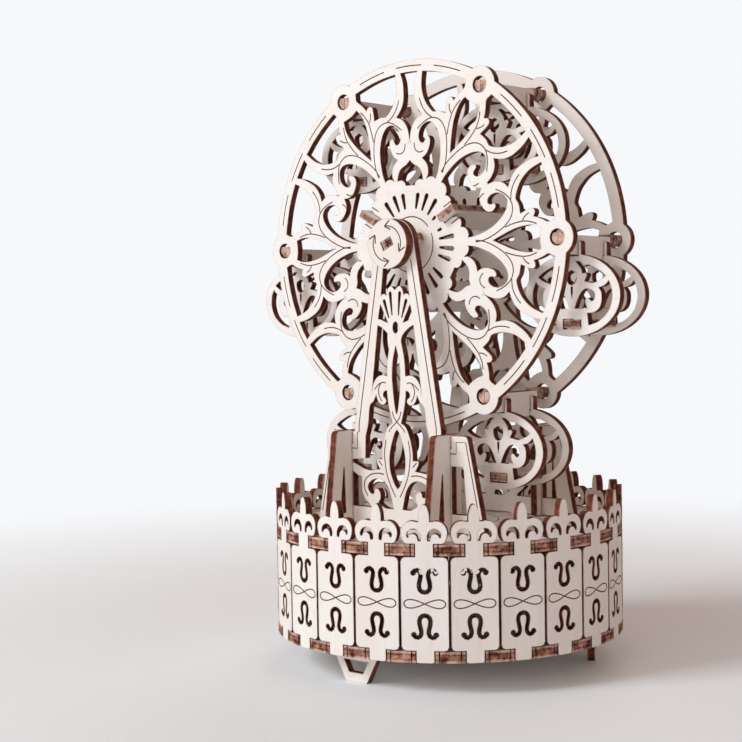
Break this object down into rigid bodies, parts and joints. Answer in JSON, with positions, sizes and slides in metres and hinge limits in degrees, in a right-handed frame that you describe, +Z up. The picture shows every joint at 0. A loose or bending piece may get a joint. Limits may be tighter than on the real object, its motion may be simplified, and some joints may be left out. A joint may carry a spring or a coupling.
{
  "type": "hand-turned ferris wheel toy",
  "caption": "Slot-together plywood ferris wheel whose hanging cabins stay level while a knob on the axle turns the wheel, on a round drum with a crested rim.",
  "frame": {"origin": "on the table under the middle of the drum", "axes": "+Z up, the wheel's axle along Y with the knob at the -Y end, +X to the right when seen from the knob"},
  "size_m": [0.1302, 0.1024, 0.175],
  "materials": {
    "disc_birch": "sanded birch plywood, scorched cut edges",
    "panel_birch": "sanded birch plywood, scorched cut edges",
    "pylon_birch": "sanded birch plywood, scorched cut edges",
    "wheel_birch": "sanded birch plywood, scorched cut edges",
    "cabin_birch": "sanded birch plywood, scorched cut edges",
    "axle_birch": "sanded birch plywood, scorched cut edges"
  },
  "bodies": {
    "root": {"base_disc": "disc_birch", "deck_disc": "disc_birch", "drum_panel_01": "panel_birch", "drum_panel_02": "panel_birch", "drum_panel_03": "panel_birch", "drum_panel_04": "panel_birch", "drum_panel_05": "panel_birch", "drum_panel_06": "panel_birch", "drum_panel_07": "panel_birch", "drum_panel_08": "panel_birch", "drum_panel_09": "panel_birch", "drum_panel_10": "panel_birch", "drum_panel_11": "panel_birch", "drum_panel_12": "panel_birch", "drum_panel_13": "panel_birch", "drum_panel_14": "panel_birch", "drum_panel_15": "panel_birch", "drum_panel_16": "panel_birch", "drum_panel_17": "panel_birch", "drum_panel_18": "panel_birch", "drum_panel_19": "panel_birch", "drum_panel_20": "panel_birch", "drum_panel_21": "panel_birch", "drum_panel_22": "panel_birch", "drum_panel_23": "panel_birch", "drum_panel_24": "panel_birch", "foot_front": "panel_birch", "foot_right": "panel_birch", "foot_left": "panel_birch", "pylon_front": "pylon_birch", "pylon_rear": "pylon_birch", "buttress_front_left": "pylon_birch", "buttress_front_right": "pylon_birch", "buttress_rear_left": "pylon_birch", "buttress_rear_right": "pylon_birch"},
    "wheel": {"wheel_front": "wheel_birch", "wheel_rear": "wheel_birch", "vane_bottom": "wheel_birch", "vane_right": "wheel_birch", "vane_left": "wheel_birch", "axle_strip": "axle_birch", "knob": "axle_birch"},
    "cabin_1": {"cabin_1_front": "cabin_birch", "cabin_1_rear": "cabin_birch", "cabin_1_hanger": "cabin_birch"},
    "cabin_2": {"cabin_2_front": "cabin_birch", "cabin_2_rear": "cabin_birch", "cabin_2_hanger": "cabin_birch"},
    "cabin_3": {"cabin_3_front": "cabin_birch", "cabin_3_rear": "cabin_birch", "cabin_3_hanger": "cabin_birch"},
    "cabin_4": {"cabin_4_front": "cabin_birch", "cabin_4_rear": "cabin_birch", "cabin_4_hanger": "cabin_birch"},
    "cabin_5": {"cabin_5_front": "cabin_birch", "cabin_5_rear": "cabin_birch", "cabin_5_hanger": "cabin_birch"},
    "cabin_6": {"cabin_6_front": "cabin_birch", "cabin_6_rear": "cabin_birch", "cabin_6_hanger": "cabin_birch"}
  },
  "joints": [
    {"name": "wheel_spin", "type": "hinge", "parent": "root", "child": "wheel", "pos_m": [0, 0, 0.122], "axis": [0, 1, 0], "continuous": true},
    {"name": "cabin_1_swing", "type": "hinge", "parent": "wheel", "child": "cabin_1", "pos_m": [0.05, 0, 0.122], "axis": [0, 1, 0], "continuous": true},
    {"name": "cabin_2_swing", "type": "hinge", "parent": "wheel", "child": "cabin_2", "pos_m": [0.025, 0, 0.1653], "axis": [0, 1, 0], "continuous": true},
    {"name": "cabin_3_swing", "type": "hinge", "parent": "wheel", "child": "cabin_3", "pos_m": [-0.025, 0, 0.1653], "axis": [0, 1, 0], "continuous": true},
    {"name": "cabin_4_swing", "type": "hinge", "parent": "wheel", "child": "cabin_4", "pos_m": [-0.05, 0, 0.122], "axis": [0, 1, 0], "continuous": true},
    {"name": "cabin_5_swing", "type": "hinge", "parent": "wheel", "child": "cabin_5", "pos_m": [-0.025, 0, 0.0787], "axis": [0, 1, 0], "continuous": true},
    {"name": "cabin_6_swing", "type": "hinge", "parent": "wheel", "child": "cabin_6", "pos_m": [0.025, 0, 0.0787], "axis": [0, 1, 0], "continuous": true}
  ],
  "couplings": [
    {"joint": "cabin_1_swing", "follows": "wheel_spin", "ratio": -1},
    {"joint": "cabin_2_swing", "follows": "wheel_spin", "ratio": -1},
    {"joint": "cabin_3_swing", "follows": "wheel_spin", "ratio": -1},
    {"joint": "cabin_4_swing", "follows": "wheel_spin", "ratio": -1},
    {"joint": "cabin_5_swing", "follows": "wheel_spin", "ratio": -1},
    {"joint": "cabin_6_swing", "follows": "wheel_spin", "ratio": -1}
  ]
}
